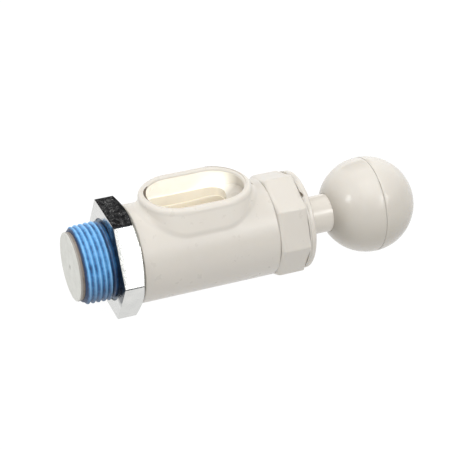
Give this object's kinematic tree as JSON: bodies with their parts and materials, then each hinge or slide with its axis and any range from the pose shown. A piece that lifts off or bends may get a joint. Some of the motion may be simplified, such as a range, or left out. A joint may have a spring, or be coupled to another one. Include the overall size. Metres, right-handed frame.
{
  "type": "float valve",
  "caption": "Axial ball float valve: threaded hex inlet with poppet disc, tubular body with raised oblong side port, octagonal end cap and hollow ball on a sliding stem.",
  "frame": {"origin": "on the valve's axis, in the plane of the hexagon's face that looks toward the thread, where the valve meets the tank port", "axes": "+X along the valve's axis from the thread to the ball, +Z the way the oblong side port opens, which is up as the valve lies"},
  "size_m": [0.1242, 0.0404, 0.0383],
  "materials": {
    "nickel_plate": "nickel-plated brass, slightly rough",
    "ivory_plastic": "moulded, soft gloss, beige",
    "disc_plastic": "turned, light grey, satin",
    "guide_plastic": "moulded, natural",
    "black_rubber": "matt",
    "seal_rubber": "matt, brown",
    "spring_steel": "stainless, drawn",
    "brass": "turned"
  },
  "bodies": {
    "valve": {"inlet_fitting": "nickel_plate", "stem_guide": "guide_plastic", "guide_retaining_ring": "spring_steel", "body_gasket": "black_rubber", "valve_body": "ivory_plastic", "cap_gasket": "black_rubber", "end_cap": "ivory_plastic", "guide_bush": "ivory_plastic", "bush_clip": "spring_steel", "stem_wiper": "black_rubber", "return_spring": "spring_steel"},
    "spring_seat": {"spring_washer": "spring_steel"},
    "float_stem": {"spindle": "spring_steel", "spindle_clips": "spring_steel", "stem_sleeve": "ivory_plastic", "poppet_disc": "disc_plastic", "poppet_seal": "seal_rubber", "disc_lock_nut": "brass", "float_inner_shell": "ivory_plastic", "float_outer_shell": "ivory_plastic", "float_insert": "brass"}
  },
  "joints": [
    {"name": "float_lift", "type": "slide", "parent": "valve", "child": "spring_seat", "axis": [-1, 0, 0], "range_m": [0, 0.008], "stiffness_N_per_m": 43, "springref_m": -0.0023, "deforming": ["return_spring"]},
    {"name": "float_spin", "type": "hinge", "parent": "spring_seat", "child": "float_stem", "pos_m": [0.0954, 0, 0], "axis": [1, 0, 0], "continuous": true}
  ]
}
